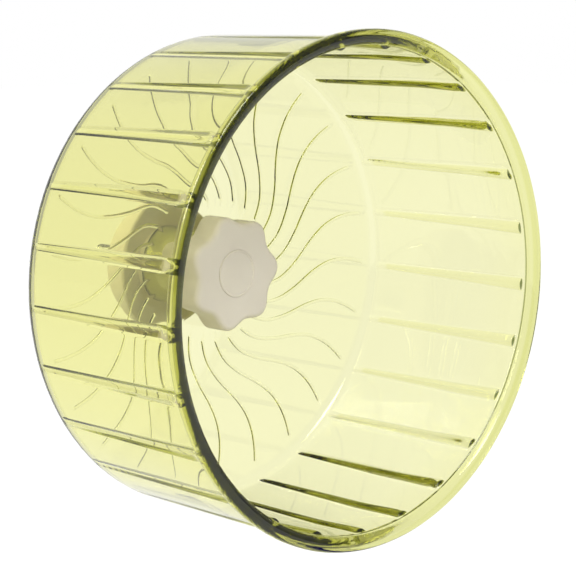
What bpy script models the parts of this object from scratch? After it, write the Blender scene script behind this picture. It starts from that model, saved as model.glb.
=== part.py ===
# Hamster wheel that hangs on a cage wall: a clear drum turning on a knob-headed axle bolt.
# Everything is parented to one empty whose Z axis is the axle. Z is 0 on the cage wall and
# grows towards the open mouth. The empty turns that axis to world -Y, so the mouth faces -Y.
import math

import bmesh
import bpy
from mathutils import Matrix, Vector

# Shared values
SEAT_GAP = 0.0003          # between pieces that touch
THRUST_PLAY = 0.0004       # end float of the drum on its axle
OVERRUN = 0.003            # how far a cutter runs past the face that it cuts
MERGE_DISTANCE = 0.00001
SHARP_ANGLE = math.radians(35)

# Drum: one clear moulding, open in front
FLANGE_RADIUS = 0.0700
FLANGE_REACH = 0.0017      # how far it stands out past the wall
FLANGE_THICKNESS = 0.0020
LIP_OVERHANG = 0.0007      # how far the lip reaches in past the wall
LIP_EDGE = 0.0004
WALL_THICKNESS = 0.0018
WALL_TAPER = 0.0013        # from the mouth to the disc
DRUM_DEPTH = 0.0650
DISC_THICKNESS = 0.0020
CORNER_RADIUS = 0.0046
CORNER_STEPS = 3
DRUM_STEPS = 100
MOUTH_WALL_RADIUS = FLANGE_RADIUS - FLANGE_REACH
REAR_WALL_RADIUS = MOUTH_WALL_RADIUS - WALL_TAPER
LIP_INNER_RADIUS = MOUTH_WALL_RADIUS - WALL_THICKNESS - LIP_OVERHANG

# Rungs: ridges inside the wall that are grooves outside it, wide at the mouth
RUNG_COUNT = 25
RUNG_PHASE = math.radians(10.6)
RUNG_MOUTH_HALF_WIDTH = 0.0021
RIDGE_REAR_HALF_WIDTH = 0.0005
GROOVE_REAR_HALF_WIDTH = 0.0013
RUNG_HEIGHT_SHARE = 0.75   # height over half width
RUNG_NOSE_LENGTH = 0.0018
RUNG_NOSE_SHARE = 0.86     # height of the nose's end over the lip's overhang
RUNG_NOSE_HALF_WIDTH = RUNG_NOSE_SHARE * LIP_OVERHANG / RUNG_HEIGHT_SHARE
RUNG_SEAT = 0.0002         # how far the nose runs into the lip
RUNG_SHOULDER_ANGLE = math.radians(65)
RUNG_END_SHARE = 0.2       # how far up the inner corner a rung ends
RUNG_STEPS = 8
GROOVE_SET_BACK = 0.0012

# Swirl ribs on the inner face of the disc
SWIRL_COUNT = 25
SWIRL_PHASE = math.radians(11.2)     # of the inner ends
SWIRL_TURN_DEGREES = (0, 6.9, 16.0, 24.2, 28.8, 30.4, 30.2, 29.0)    # at even steps outwards
SWIRL_INNER_RADIUS = 0.0202
SWIRL_MARGIN = 0.0066                # from the outer ends to the wall's outer face
SWIRL_OUTER_RADIUS = REAR_WALL_RADIUS - SWIRL_MARGIN
SWIRL_HALF_WIDTH = 0.00045
SWIRL_SINK = 0.0001

# Axle bolt with a six-sided head, and its nut
BOLT_RADIUS = 0.0030
BOLT_CLEARANCE = 0.0003
BOLT_HOLE_RADIUS = BOLT_RADIUS + BOLT_CLEARANCE
BOLT_END_CHAMFER = 0.0006
BOLT_REACH = 0.0250        # past the cage wall's plane
THREAD_STEPS = 24
HEX_SIDES = 6
HEX_FLATS = 0.0100         # across the flats of the head and of the nut
HEX_CORNER_RADIUS = HEX_FLATS / (2 * math.cos(math.pi / HEX_SIDES))
HEAD_HEIGHT = 0.0032
NUT_HEIGHT = 0.0048

# Sleeve on the bolt, bush that turns on it, and the hub that the bush is pressed into
SLEEVE_WALL = 0.0027
SLEEVE_RADIUS = BOLT_HOLE_RADIUS + SLEEVE_WALL
BUSH_BORE_RADIUS = SLEEVE_RADIUS + SEAT_GAP
BUSH_WALL = 0.0022
BUSH_FLANGE_REACH = 0.0021
BUSH_FLANGE_RADIUS = BUSH_BORE_RADIUS + BUSH_WALL + BUSH_FLANGE_REACH
BUSH_FLANGE_THICKNESS = 0.0008
WASHER_REACH = 0.0035      # past the bush's bore
WASHER_RADIUS = BUSH_BORE_RADIUS + WASHER_REACH
WASHER_THICKNESS = 0.0008
HUB_BORE_RADIUS = BUSH_BORE_RADIUS + BUSH_WALL + SEAT_GAP
HUB_WALL = 0.0024
HUB_RADIUS = HUB_BORE_RADIUS + HUB_WALL
HUB_DRAFT = 0.0003
HUB_LENGTH = 0.0120
TURNED_STEPS = 36

# Knob: seven lobes, a skirt behind and a round cap in front
LOBE_COUNT = 7
LOBE_PHASE = math.radians(2.3)
SKIRT_CLEARANCE = 0.0019   # round the bush's flange
SKIRT_INNER_RADIUS = BUSH_FLANGE_RADIUS + SKIRT_CLEARANCE
SKIRT_WALL = 0.0017        # at the dips between the lobes
LOBE_DEPTH = 0.0024
LOBE_RADIUS = SKIRT_INNER_RADIUS + SKIRT_WALL + LOBE_DEPTH
LOBE_POINTS = 8            # outline points for each lobe
KNOB_EDGE = 0.0017
KNOB_FACE_THICKNESS = 0.0024
KNOB_DISC_CLEARANCE = 0.0008
POCKET_CLEARANCE = 0.0002
BOSS_WALL = 0.0014         # outside the corners of the bolt's head
BOSS_RADIUS = HEX_CORNER_RADIUS + BOSS_WALL
BOSS_FLOOR = 0.0016
CAP_LAP = 0.0010           # past the corners of the bolt's head
CAP_RADIUS = HEX_CORNER_RADIUS + CAP_LAP
CAP_THICKNESS = 0.0013
CAP_EDGE = 0.0003

# Mount base: a cored puck with a neck, flat against the cage wall
PUCK_RADIUS = 0.0180
PUCK_DRAFT = 0.0007
PUCK_WALL_RADIUS = PUCK_RADIUS - PUCK_DRAFT  # where the puck meets the cage wall
PUCK_DEPTH = 0.0080
PUCK_EDGE = 0.0014
PUCK_SKIN = 0.0020
NECK_REACH = 0.0025        # past the sleeve
NECK_RADIUS = SLEEVE_RADIUS + NECK_REACH
NECK_HEIGHT = 0.0035
NECK_EDGE = 0.0004
CORE_HUB_WALL = 0.0029
CORE_HUB_RADIUS = BOLT_HOLE_RADIUS + CORE_HUB_WALL
CORE_RIB_COUNT = 6
CORE_RIB_THICKNESS = 0.0016
CORE_RIB_RECESS = 0.0003

# Backing plate outside the cage wall, with a pocket that holds the nut
CLAMP_GAP = 0.0050
PLATE_BOSS_WALL = 0.0022   # outside the corners of the nut
PLATE_BOSS_RADIUS = HEX_CORNER_RADIUS + PLATE_BOSS_WALL
PLATE_REACH = 0.0035       # past the boss
PLATE_RADIUS = PLATE_BOSS_RADIUS + PLATE_REACH
PLATE_THICKNESS = 0.0022
PLATE_EDGE = 0.0005
PLATE_BOSS_HEIGHT = 0.0037
PLATE_FLOOR = 0.0014

# Heights along the axle, each stacked on the one before
NECK_TOP = PUCK_DEPTH + NECK_HEIGHT
REAR_WASHER_Z = NECK_TOP + SEAT_GAP
HUB_END_Z = REAR_WASHER_Z + WASHER_THICKNESS + THRUST_PLAY
DISC_REAR_Z = HUB_END_Z + HUB_LENGTH
DISC_FACE_Z = DISC_REAR_Z + DISC_THICKNESS
MOUTH_Z = DISC_REAR_Z + DRUM_DEPTH
BUSH_FLANGE_Z = DISC_FACE_Z + SEAT_GAP
FRONT_WASHER_Z = BUSH_FLANGE_Z + BUSH_FLANGE_THICKNESS + THRUST_PLAY
BOSS_REAR_Z = FRONT_WASHER_Z + WASHER_THICKNESS + SEAT_GAP
HEAD_SEAT_Z = BOSS_REAR_Z + BOSS_FLOOR
HEAD_Z = HEAD_SEAT_Z + SEAT_GAP
CAP_FLOOR_Z = HEAD_Z + HEAD_HEIGHT + SEAT_GAP
CAP_Z = CAP_FLOOR_Z + SEAT_GAP
KNOB_FACE_Z = CAP_Z + CAP_THICKNESS
KNOB_REAR_Z = DISC_FACE_Z + KNOB_DISC_CLEARANCE
PLATE_Z = -CLAMP_GAP
PLATE_BOSS_Z = PLATE_Z - PLATE_THICKNESS
PLATE_REAR_Z = PLATE_BOSS_Z - PLATE_BOSS_HEIGHT
POCKET_Z = PLATE_Z - PLATE_FLOOR
NUT_Z = POCKET_Z - SEAT_GAP
BOLT_END_Z = -BOLT_REACH


def clear_scene():
    for old in list(bpy.data.objects):
        bpy.data.objects.remove(old, do_unlink=True)


def new_collection(name):
    group = bpy.data.collections.new(name)
    bpy.context.scene.collection.children.link(group)
    return group


def new_material(name, color, roughness, transmission=0.0, metallic=0.0):
    mat = bpy.data.materials.new(name)
    mat.use_nodes = True
    shader = mat.node_tree.nodes["Principled BSDF"]
    shader.inputs["Base Color"].default_value = (*color, 1.0)
    shader.inputs["Roughness"].default_value = roughness
    shader.inputs["Metallic"].default_value = metallic
    shader.inputs["Transmission Weight"].default_value = transmission
    shader.inputs["IOR"].default_value = 1.5
    return mat


def add_piece(name, data, group, mat=None):
    piece = bpy.data.objects.new(name, data)
    group.objects.link(piece)
    if mat:
        data.materials.append(mat)
    return piece


def add_cutter(name, data):
    cutter = add_piece(name, data, CUTTERS)
    cutter.hide_render = True
    cutter.display_type = "WIRE"
    cutter.parent = AXLE
    return cutter


def profile_mesh(name, profile, closed):
    """Edges through (radius, z) points. They run down the outer side, top to bottom."""
    mesh = bpy.data.meshes.new(name)
    points = [(radius, 0.0, z) for radius, z in profile]
    edges = [(i, i + 1) for i in range(len(points) - 1)]
    if closed:
        edges.append((len(points) - 1, 0))
    mesh.from_pydata(points, edges, [])
    return mesh


def screw_round(piece, steps):
    screw = piece.modifiers.new("turn", "SCREW")
    screw.axis = "Z"
    screw.angle = math.tau
    screw.steps = steps
    screw.render_steps = steps
    screw.use_merge_vertices = True
    screw.merge_threshold = MERGE_DISTANCE
    screw.use_smooth_shade = True
    return screw


def turned(name, profile, group, mat=None, closed=True, steps=TURNED_STEPS):
    piece = add_piece(name, profile_mesh(name, profile, closed), group, mat)
    piece.parent = AXLE
    screw_round(piece, steps)
    return piece


def boolean(piece, cutter, operation):
    step = piece.modifiers.new(cutter.name, "BOOLEAN")
    step.operation = operation
    step.object = cutter
    step.solver = "EXACT"


def arc(centre, radius, start, end, steps):
    """Points on a round stretch of a profile, ends included. Angles are in degrees."""
    points = []
    for i in range(steps + 1):
        turn = math.radians(start + (end - start) * i / steps)
        points.append((centre[0] + radius * math.cos(turn), centre[1] + radius * math.sin(turn)))
    return points


def ring(inner, outer, low, high):
    """Closed profile of a washer or a sleeve."""
    return [(inner, high), (outer, high), (outer, low), (inner, low)]


def evaluated_mesh(piece):
    bpy.context.view_layer.update()
    depsgraph = bpy.context.evaluated_depsgraph_get()
    return bpy.data.meshes.new_from_object(piece.evaluated_get(depsgraph))


def copies_round_axle(name, mesh, count, phase):
    """One mesh that holds count copies of mesh, turned evenly about Z."""
    ring_of_copies = bmesh.new()
    for i in range(count):
        before = len(ring_of_copies.verts)
        ring_of_copies.from_mesh(mesh)
        ring_of_copies.verts.ensure_lookup_table()
        turn = Matrix.Rotation(phase + math.tau * i / count, 4, "Z")
        bmesh.ops.transform(ring_of_copies, matrix=turn, verts=ring_of_copies.verts[before:])
    bmesh.ops.remove_doubles(ring_of_copies, verts=ring_of_copies.verts, dist=MERGE_DISTANCE)
    result = bpy.data.meshes.new(name)
    ring_of_copies.to_mesh(result)
    ring_of_copies.free()
    return result


def hex_prism(name, flats, low, high):
    mesh = bpy.data.meshes.new(name)
    shape = bmesh.new()
    corner = flats / (2 * math.cos(math.pi / HEX_SIDES))
    middle = Matrix.Translation((0, 0, (low + high) / 2))
    bmesh.ops.create_cone(shape, cap_ends=True, segments=HEX_SIDES, radius1=corner,
                          radius2=corner, depth=high - low, matrix=middle)
    shape.to_mesh(mesh)
    shape.free()
    return mesh


def wall_radius(z):
    """Outer radius of the drum's wall, which tapers towards the disc."""
    share = (z - DISC_REAR_Z) / (MOUTH_Z - DISC_REAR_Z)
    return REAR_WALL_RADIUS + (MOUTH_WALL_RADIUS - REAR_WALL_RADIUS) * share


def drum_profile():
    lip_back = MOUTH_Z - FLANGE_THICKNESS
    corner_z = DISC_REAR_Z + CORNER_RADIUS
    corner_x = wall_radius(corner_z) - CORNER_RADIUS
    inner_corner = CORNER_RADIUS - WALL_THICKNESS
    inner_z = DISC_FACE_Z + inner_corner
    inner_x = wall_radius(inner_z) - WALL_THICKNESS - inner_corner
    outer = [
        (FLANGE_RADIUS - LIP_EDGE, MOUTH_Z),
        (FLANGE_RADIUS, MOUTH_Z - LIP_EDGE),
        (FLANGE_RADIUS, lip_back + LIP_EDGE),
        (FLANGE_RADIUS - LIP_EDGE, lip_back),
        (wall_radius(lip_back), lip_back),
    ]
    outer += arc((corner_x, corner_z), CORNER_RADIUS, 0, -90, CORNER_STEPS)
    hub = [
        (HUB_RADIUS, DISC_REAR_Z),
        (HUB_RADIUS - HUB_DRAFT, HUB_END_Z),
        (HUB_BORE_RADIUS, HUB_END_Z),
        (HUB_BORE_RADIUS, DISC_FACE_Z),
    ]
    inner = arc((inner_x, inner_z), inner_corner, -90, 0, CORNER_STEPS)
    inner += [
        (wall_radius(lip_back) - WALL_THICKNESS, lip_back),
        (LIP_INNER_RADIUS, lip_back),
        (LIP_INNER_RADIUS, MOUTH_Z - LIP_EDGE),
        (LIP_INNER_RADIUS + LIP_EDGE, MOUTH_Z),
    ]
    return outer + hub + inner


def rung_bar(name, top_z, bottom_z, rear_half_width, outset):
    """A tapered bar with a round nose along the wall at angle zero, half sunk in its inner
    face, or in its outer face when outset is the wall's thickness."""
    length = top_z - bottom_z
    shoulder = RUNG_MOUTH_HALF_WIDTH * math.sin(RUNG_SHOULDER_ANGLE)
    profile = [
        (0.0, length),
        (RUNG_NOSE_HALF_WIDTH, length),
        (shoulder, length - RUNG_NOSE_LENGTH / 2),
        (RUNG_MOUTH_HALF_WIDTH, length - RUNG_NOSE_LENGTH),
        (rear_half_width, 0.0),
        (0.0, 0.0),
    ]
    bar = turned(name, profile, CUTTERS, closed=False, steps=RUNG_STEPS)
    mesh = evaluated_mesh(bar)
    bpy.data.objects.remove(bar)
    top_x = wall_radius(top_z) - WALL_THICKNESS + outset
    rear_x = wall_radius(bottom_z) - WALL_THICKNESS + outset
    lean = Vector((top_x - rear_x, 0, length))
    tilt = Vector((0, 0, 1)).rotation_difference(lean).to_matrix().to_4x4()
    flatten = Matrix.Diagonal((RUNG_HEIGHT_SHARE, 1, 1, 1))
    mesh.transform(Matrix.Translation((rear_x, 0, bottom_z)) @ tilt @ flatten)
    return mesh


def swirl_rib():
    """A four-sided tube along the swirl, half sunk in the disc's face."""
    curve = bpy.data.curves.new("swirl_rib", "CURVE")
    curve.dimensions = "3D"
    curve.bevel_depth = SWIRL_HALF_WIDTH
    curve.bevel_resolution = 0
    curve.use_fill_caps = True
    line = curve.splines.new("POLY")
    steps = len(SWIRL_TURN_DEGREES) - 1
    line.points.add(steps)
    for i, point in enumerate(line.points):
        radius = SWIRL_INNER_RADIUS + (SWIRL_OUTER_RADIUS - SWIRL_INNER_RADIUS) * i / steps
        turn = math.radians(SWIRL_TURN_DEGREES[i])
        place = (radius * math.cos(turn), radius * math.sin(turn), DISC_FACE_Z - SWIRL_SINK)
        point.co = (*place, 1.0)
    rib = add_piece("swirl_rib", curve, CUTTERS)
    mesh = evaluated_mesh(rib)
    bpy.data.objects.remove(rib)
    return mesh


def build_drum():
    drum = turned("wheel_drum", drum_profile(), PARTS, CLEAR_GREEN, steps=DRUM_STEPS)
    lip_back = MOUTH_Z - FLANGE_THICKNESS
    ridge_end = DISC_FACE_Z + RUNG_END_SHARE * (CORNER_RADIUS - WALL_THICKNESS)
    ridge = rung_bar("ridge", lip_back + RUNG_SEAT, ridge_end, RIDGE_REAR_HALF_WIDTH, 0.0)
    ridges = copies_round_axle("ridges", ridge, RUNG_COUNT, RUNG_PHASE)
    groove_top = lip_back - GROOVE_SET_BACK
    groove_end = DISC_REAR_Z - OVERRUN
    groove = rung_bar("groove", groove_top, groove_end, GROOVE_REAR_HALF_WIDTH, WALL_THICKNESS)
    grooves = copies_round_axle("grooves", groove, RUNG_COUNT, RUNG_PHASE)
    ribs = copies_round_axle("swirl_ribs", swirl_rib(), SWIRL_COUNT, SWIRL_PHASE)
    boolean(drum, add_cutter("ridges", ridges), "UNION")
    boolean(drum, add_cutter("grooves", grooves), "DIFFERENCE")
    boolean(drum, add_cutter("swirl_ribs", ribs), "UNION")
    return drum


def build_bearing():
    """The bush pressed into the hub, the sleeve it turns on, and a washer at each end."""
    bush_outer = BUSH_BORE_RADIUS + BUSH_WALL
    bush = [
        (BUSH_BORE_RADIUS, BUSH_FLANGE_Z + BUSH_FLANGE_THICKNESS),
        (BUSH_FLANGE_RADIUS, BUSH_FLANGE_Z + BUSH_FLANGE_THICKNESS),
        (BUSH_FLANGE_RADIUS, BUSH_FLANGE_Z),
        (bush_outer, BUSH_FLANGE_Z),
        (bush_outer, HUB_END_Z),
        (BUSH_BORE_RADIUS, HUB_END_Z),
    ]
    turned("hub_bush", bush, PARTS, WHITE_BUSH)
    sleeve = ring(BOLT_HOLE_RADIUS, SLEEVE_RADIUS, NECK_TOP + SEAT_GAP, FRONT_WASHER_Z - SEAT_GAP)
    turned("axle_sleeve", sleeve, PARTS, WHITE_BUSH)
    front = ring(BOLT_HOLE_RADIUS, WASHER_RADIUS, FRONT_WASHER_Z, FRONT_WASHER_Z + WASHER_THICKNESS)
    turned("front_washer", front, PARTS, WHITE_BUSH)
    rear = ring(BUSH_BORE_RADIUS, WASHER_RADIUS, REAR_WASHER_Z, REAR_WASHER_Z + WASHER_THICKNESS)
    turned("rear_washer", rear, PARTS, WHITE_BUSH)


def build_base():
    """A puck whose back is cored out, leaving a rim, a hub and ribs against the cage wall."""
    core_outer = PUCK_WALL_RADIUS - PUCK_SKIN
    core_top = PUCK_DEPTH - PUCK_SKIN
    profile = [
        (BOLT_HOLE_RADIUS, NECK_TOP),
        (NECK_RADIUS - NECK_EDGE, NECK_TOP),
        (NECK_RADIUS, NECK_TOP - NECK_EDGE),
        (NECK_RADIUS, PUCK_DEPTH),
    ]
    profile += arc((PUCK_RADIUS - PUCK_EDGE, PUCK_DEPTH - PUCK_EDGE), PUCK_EDGE, 90, 0, CORNER_STEPS)
    profile += [
        (PUCK_WALL_RADIUS, 0.0),
        (core_outer, 0.0),
        (core_outer, core_top),
        (CORE_HUB_RADIUS, core_top),
        (CORE_HUB_RADIUS, 0.0),
        (BOLT_HOLE_RADIUS, 0.0),
    ]
    base = turned("mount_base", profile, PARTS, CREAM)
    rib = bmesh.new()
    low, high = CORE_RIB_RECESS, core_top + PUCK_SKIN / 2
    inner, outer = (BOLT_HOLE_RADIUS + CORE_HUB_RADIUS) / 2, core_outer + PUCK_SKIN / 2
    place = Matrix.Translation(((inner + outer) / 2, 0, (low + high) / 2))
    size = Matrix.Diagonal((outer - inner, CORE_RIB_THICKNESS, high - low, 1))
    bmesh.ops.create_cube(rib, size=1, matrix=place @ size)
    rib_mesh = bpy.data.meshes.new("core_rib")
    rib.to_mesh(rib_mesh)
    rib.free()
    ribs = copies_round_axle("core_ribs", rib_mesh, CORE_RIB_COUNT, 0.0)
    boolean(base, add_cutter("core_ribs", ribs), "UNION")


def knob_outline():
    count = LOBE_COUNT * LOBE_POINTS
    points = []
    for i in range(count):
        turn = math.tau * i / count
        dip = LOBE_DEPTH * (1 - math.cos(LOBE_COUNT * (turn - LOBE_PHASE))) / 2
        radius = LOBE_RADIUS - dip
        points.append((radius * math.cos(turn), radius * math.sin(turn)))
    return points


def lobed_block(name):
    """The knob's outer form: a flat outline with thickness and rounded edges."""
    outline = bpy.data.curves.new(name, "CURVE")
    outline.dimensions = "2D"
    outline.fill_mode = "BOTH"
    outline.extrude = (KNOB_FACE_Z - KNOB_REAR_Z) / 2 - KNOB_EDGE
    outline.bevel_depth = KNOB_EDGE
    outline.bevel_resolution = 2
    outline.offset = -KNOB_EDGE
    line = outline.splines.new("POLY")
    line.use_cyclic_u = True
    points = knob_outline()
    line.points.add(len(points) - 1)
    for point, (x, y) in zip(line.points, points):
        point.co = (x, y, 0.0, 1.0)
    block = add_piece(name, outline, CUTTERS)
    mesh = evaluated_mesh(block)
    bpy.data.objects.remove(block)
    solid = bmesh.new()
    solid.from_mesh(mesh)
    bmesh.ops.remove_doubles(solid, verts=solid.verts, dist=MERGE_DISTANCE)
    bmesh.ops.recalc_face_normals(solid, faces=solid.faces)
    solid.to_mesh(mesh)
    solid.free()
    mesh.transform(Matrix.Translation((0, 0, (KNOB_REAR_Z + KNOB_FACE_Z) / 2)))
    return mesh


def build_knob():
    knob = add_piece("knob_body", lobed_block("knob_body"), PARTS, CREAM)
    knob.parent = AXLE
    knob.data.shade_smooth()
    knob.data.set_sharp_from_angle(angle=SHARP_ANGLE)
    skirt = [
        (0.0, BOSS_REAR_Z),
        (BOSS_RADIUS, BOSS_REAR_Z),
        (BOSS_RADIUS, KNOB_FACE_Z - KNOB_FACE_THICKNESS),
        (SKIRT_INNER_RADIUS, KNOB_FACE_Z - KNOB_FACE_THICKNESS),
        (SKIRT_INNER_RADIUS, KNOB_REAR_Z - OVERRUN),
        (0.0, KNOB_REAR_Z - OVERRUN),
    ]
    recess_radius = CAP_RADIUS + SEAT_GAP
    recess = [
        (0.0, KNOB_FACE_Z + OVERRUN),
        (recess_radius, KNOB_FACE_Z + OVERRUN),
        (recess_radius, CAP_FLOOR_Z),
        (BOLT_HOLE_RADIUS, CAP_FLOOR_Z),
        (BOLT_HOLE_RADIUS, KNOB_REAR_Z - OVERRUN),
        (0.0, KNOB_REAR_Z - OVERRUN),
    ]
    boolean(knob, turned("knob_skirt_cut", skirt, CUTTERS, closed=False), "DIFFERENCE")
    boolean(knob, turned("knob_recess_cut", recess, CUTTERS, closed=False), "DIFFERENCE")
    pocket_flats = HEX_FLATS + 2 * POCKET_CLEARANCE
    pocket = hex_prism("knob_hex_cut", pocket_flats, HEAD_SEAT_Z, CAP_FLOOR_Z + OVERRUN)
    boolean(knob, add_cutter("knob_hex_cut", pocket), "DIFFERENCE")
    cap = [
        (0.0, KNOB_FACE_Z),
        (CAP_RADIUS - CAP_EDGE, KNOB_FACE_Z),
        (CAP_RADIUS, KNOB_FACE_Z - CAP_EDGE),
        (CAP_RADIUS, CAP_Z),
        (0.0, CAP_Z),
    ]
    turned("knob_cap", cap, PARTS, CREAM, closed=False)


def build_bolt():
    shank = [
        (0.0, HEAD_Z + HEAD_HEIGHT / 2),
        (BOLT_RADIUS, HEAD_Z + HEAD_HEIGHT / 2),
        (BOLT_RADIUS, BOLT_END_Z + BOLT_END_CHAMFER),
        (BOLT_RADIUS - BOLT_END_CHAMFER, BOLT_END_Z),
        (0.0, BOLT_END_Z),
    ]
    bolt = turned("axle_bolt", shank, PARTS, STEEL, closed=False, steps=THREAD_STEPS)
    head = hex_prism("bolt_head", HEX_FLATS, HEAD_Z, HEAD_Z + HEAD_HEIGHT)
    boolean(bolt, add_cutter("bolt_head", head), "UNION")


def build_clamp():
    """The plate outside the cage wall and the nut that sits in its six-sided pocket."""
    profile = [
        (BOLT_HOLE_RADIUS, PLATE_Z),
        (PLATE_RADIUS - PLATE_EDGE, PLATE_Z),
        (PLATE_RADIUS, PLATE_Z - PLATE_EDGE),
        (PLATE_RADIUS, PLATE_BOSS_Z),
        (PLATE_BOSS_RADIUS, PLATE_BOSS_Z),
        (PLATE_BOSS_RADIUS, PLATE_REAR_Z + PLATE_EDGE),
        (PLATE_BOSS_RADIUS - PLATE_EDGE, PLATE_REAR_Z),
        (BOLT_HOLE_RADIUS, PLATE_REAR_Z),
    ]
    plate = turned("backing_plate", profile, PARTS, CREAM)
    pocket_flats = HEX_FLATS + 2 * SEAT_GAP
    pocket = hex_prism("plate_hex_cut", pocket_flats, PLATE_REAR_Z - OVERRUN, POCKET_Z)
    boolean(plate, add_cutter("plate_hex_cut", pocket), "DIFFERENCE")
    nut = add_piece("lock_nut", hex_prism("lock_nut", HEX_FLATS, NUT_Z - NUT_HEIGHT, NUT_Z), PARTS, STEEL)
    nut.parent = AXLE
    bore = [
        (0.0, NUT_Z + OVERRUN),
        (BOLT_HOLE_RADIUS, NUT_Z + OVERRUN),
        (BOLT_HOLE_RADIUS, NUT_Z - NUT_HEIGHT - OVERRUN),
        (0.0, NUT_Z - NUT_HEIGHT - OVERRUN),
    ]
    boolean(nut, turned("nut_bore_cut", bore, CUTTERS, closed=False, steps=THREAD_STEPS), "DIFFERENCE")


clear_scene()
PARTS = new_collection("hamster_wheel")
CUTTERS = new_collection("cutters")
AXLE = add_piece("axle_frame", None, PARTS)
AXLE.rotation_euler = (math.radians(90), 0, 0)
CLEAR_GREEN = new_material("clear_green", (0.80, 0.83, 0.36), 0.05, transmission=0.95)
CREAM = new_material("cream", (0.84, 0.80, 0.72), 0.35)
WHITE_BUSH = new_material("white_bush", (0.88, 0.88, 0.86), 0.40)
STEEL = new_material("steel", (0.60, 0.60, 0.60), 0.30, metallic=1.0)
build_drum()
build_bearing()
build_base()
build_knob()
build_bolt()
build_clamp()
for part in CUTTERS.objects:
    part.hide_render = True
    part.display_type = "WIRE"
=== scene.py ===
import math

import bmesh
import bpy
from mathutils import Matrix, Vector


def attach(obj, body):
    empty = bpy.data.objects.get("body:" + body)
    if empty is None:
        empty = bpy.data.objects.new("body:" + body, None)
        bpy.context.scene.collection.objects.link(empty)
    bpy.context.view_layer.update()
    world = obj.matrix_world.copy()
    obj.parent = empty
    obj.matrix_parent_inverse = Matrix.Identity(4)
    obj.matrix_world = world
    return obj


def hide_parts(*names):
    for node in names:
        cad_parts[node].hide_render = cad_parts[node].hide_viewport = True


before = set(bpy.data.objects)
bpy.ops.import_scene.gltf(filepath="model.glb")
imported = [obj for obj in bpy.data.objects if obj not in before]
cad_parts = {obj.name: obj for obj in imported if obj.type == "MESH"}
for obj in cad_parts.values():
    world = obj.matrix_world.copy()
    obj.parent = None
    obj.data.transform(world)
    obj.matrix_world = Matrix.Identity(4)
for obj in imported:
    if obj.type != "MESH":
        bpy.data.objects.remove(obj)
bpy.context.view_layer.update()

AXLE_TURN = Matrix.Rotation(math.radians(90), 4, "X")

# Shared values
SEAT_GAP = 0.0003
THRUST_PLAY = 0.0004
MERGE_DISTANCE = 0.000002
SHARP_ANGLE = math.radians(38)
TURNED_STEPS = 96
SOFT_STEPS = 3             # on each corner that softened() rounds

# Drum
FLANGE_RADIUS = 0.0700
FLANGE_REACH = 0.0017
LIP_OVERHANG = 0.0007      # how far the lip stands in from the wall's inside
LIP_DEPTH = 0.0025         # how far back the flange reaches
LIP_EDGE = 0.0013          # rounding of the flange's front edge
LIP_BACK_EDGE = 0.0004     # the same at its back
LIP_INNER_EDGE = 0.0022    # and inside the mouth
LIP_FILLET = 0.0012        # hollow rounding between the flange's back and the wall
LIP_RUN_IN = 0.0200        # length over which the wall thickens up to the lip
SEAM_DEPTH = 0.0027        # from the mouth to the fine seam behind the lip
SEAM_HALF_WIDTH = 0.00025
SEAM_SINK = 0.00018        # depth of the seam's groove
WALL_THICKNESS = 0.0018
WALL_TAPER = 0.0013
DRUM_DEPTH = 0.0650
DISC_THICKNESS = 0.0020
CORNER_RADIUS = 0.0046
MOUTH_WALL_RADIUS = FLANGE_RADIUS - FLANGE_REACH
REAR_WALL_RADIUS = MOUTH_WALL_RADIUS - WALL_TAPER
LIP_INNER_RADIUS = MOUTH_WALL_RADIUS - WALL_THICKNESS - LIP_OVERHANG

# Rungs
SECTOR_COUNT = 25
SECTOR_ANGLE = math.tau / SECTOR_COUNT
RUNG_PHASE = math.radians(10.6)
GROOVE_WIDTHS = (0.0013, 0.0021)      # half widths at the disc and at the mouth
RIDGE_WIDTHS = (0.0011, 0.0021)
RUNG_NOSE_HALF_WIDTH = 0.0008
RIDGE_NOSE_LENGTH = 0.0009
GROOVE_NOSE_LENGTH = 0.0040
GROOVE_DEPTH_SHARES = (0.06, 0.40)    # depth over half width, at the same two places
RIDGE_HEIGHT_SHARES = (0.38, 0.45)
RIDGE_SET_BACK = 0.0006               # from the seam to the ridge's end
GROOVE_SET_BACK = 0.0016              # from the flange's back to the groove's end
GROOVE_SWELL = 1.3                    # above 1, a groove's section is slimmer than round
NOSE_SHARES = (0.0, 0.06, 0.14, 0.25, 0.4, 0.6, 0.8, 1.0, 1.3)    # rows from a rung's end back
RUNG_END_GAP = 0.00004                # from a rung's end to the first plain row

# Swirl ribs on the disc
SWIRL_PHASE = math.radians(11.2)
SWIRL_TURN_DEGREES = (0, 6.9, 16.0, 24.2, 28.8, 30.4, 30.2, 29.0)    # at even steps outwards
SWIRL_INNER_RADIUS = 0.0202
SWIRL_OUTER_RADIUS = 0.0604
SWIRL_HALF_WIDTH = 0.00055
SWIRL_HEIGHT = 0.00042
SWIRL_FADE = 0.0006        # length over which a rib rises at its ends

# Columns of the drum's mesh in one sector: some on the rung or rib, the rest between
FEATURE_COLUMNS = 10
PLAIN_PLACES = (0.02, 0.10, 0.35, 0.65, 0.90, 0.98, 1.0)    # shares of the gap to the next one

# Rows of the drum's mesh on each stretch of its section
CORNER_STEPS = 7
FACE_STEPS = 30
WALL_STEPS = 30
SEAM_STEPS = 6
LIP_INNER_STEPS = 12
LIP_EDGE_STEPS = 8
LIP_BACK_STEPS = 5
LIP_FILLET_STEPS = 6
DISC_BACK_STEPS = 6

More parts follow.
